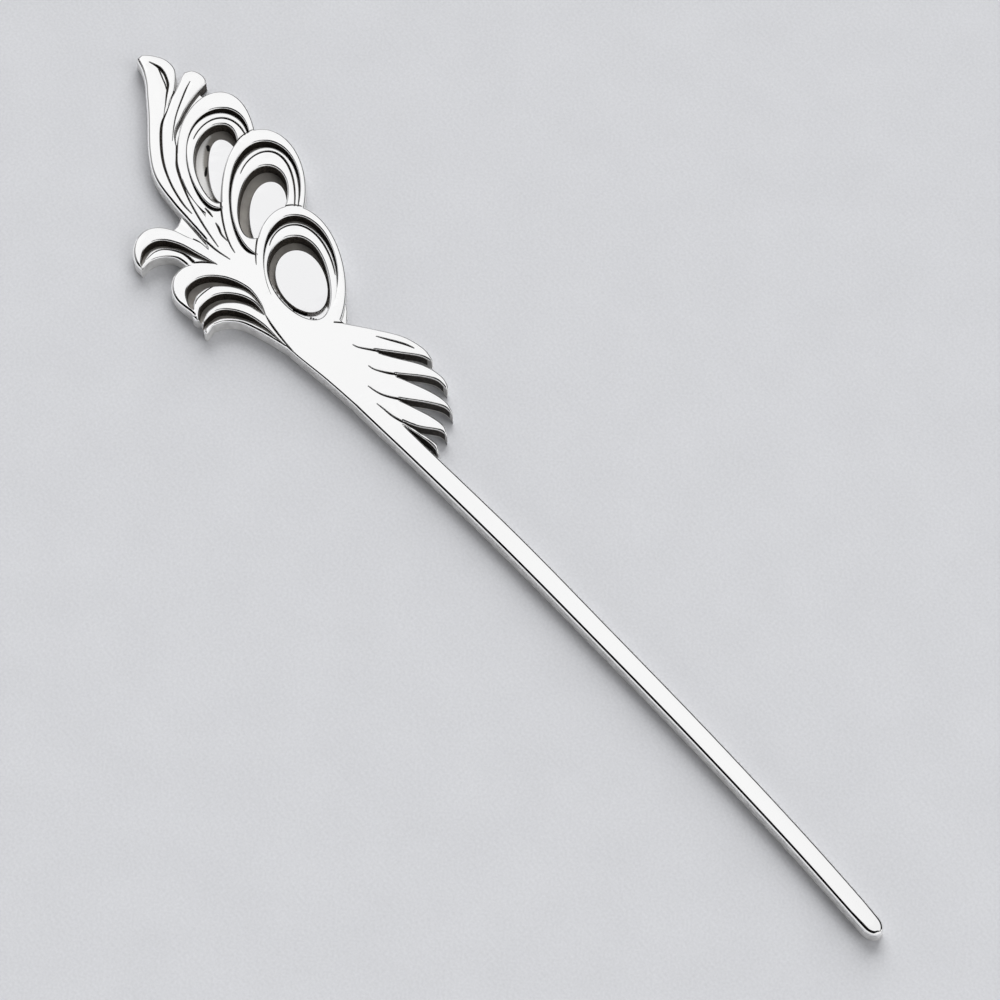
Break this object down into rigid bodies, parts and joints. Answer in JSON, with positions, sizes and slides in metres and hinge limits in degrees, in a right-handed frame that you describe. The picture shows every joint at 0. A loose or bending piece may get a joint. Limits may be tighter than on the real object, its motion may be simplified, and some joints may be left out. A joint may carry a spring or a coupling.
{
  "type": "hairpin",
  "caption": "Flat silver hairpin: a long plain stem that widens into an openwork head of feather eyes, scrolls and a small feathered wing.",
  "frame": {"origin": "middle of the pin's flat back, under the middle of its bounding box", "axes": "+X along the stem towards its tip, +Y across the head towards the feather eyes' tops, +Z out of the decorated face"},
  "size_m": [0.1777, 0.0308, 0.0026],
  "materials": {
    "polished_silver": "cast silver, mirror polished on its faces and edges, darkened in its grooves and pockets",
    "bright_silver": "silver, mirror polished"
  },
  "bodies": {
    "root": {"pin_casting": "polished_silver", "eye_disc_upper": "bright_silver", "eye_disc_middle": "bright_silver", "eye_disc_lower": "bright_silver"}
  },
  "joints": []
}
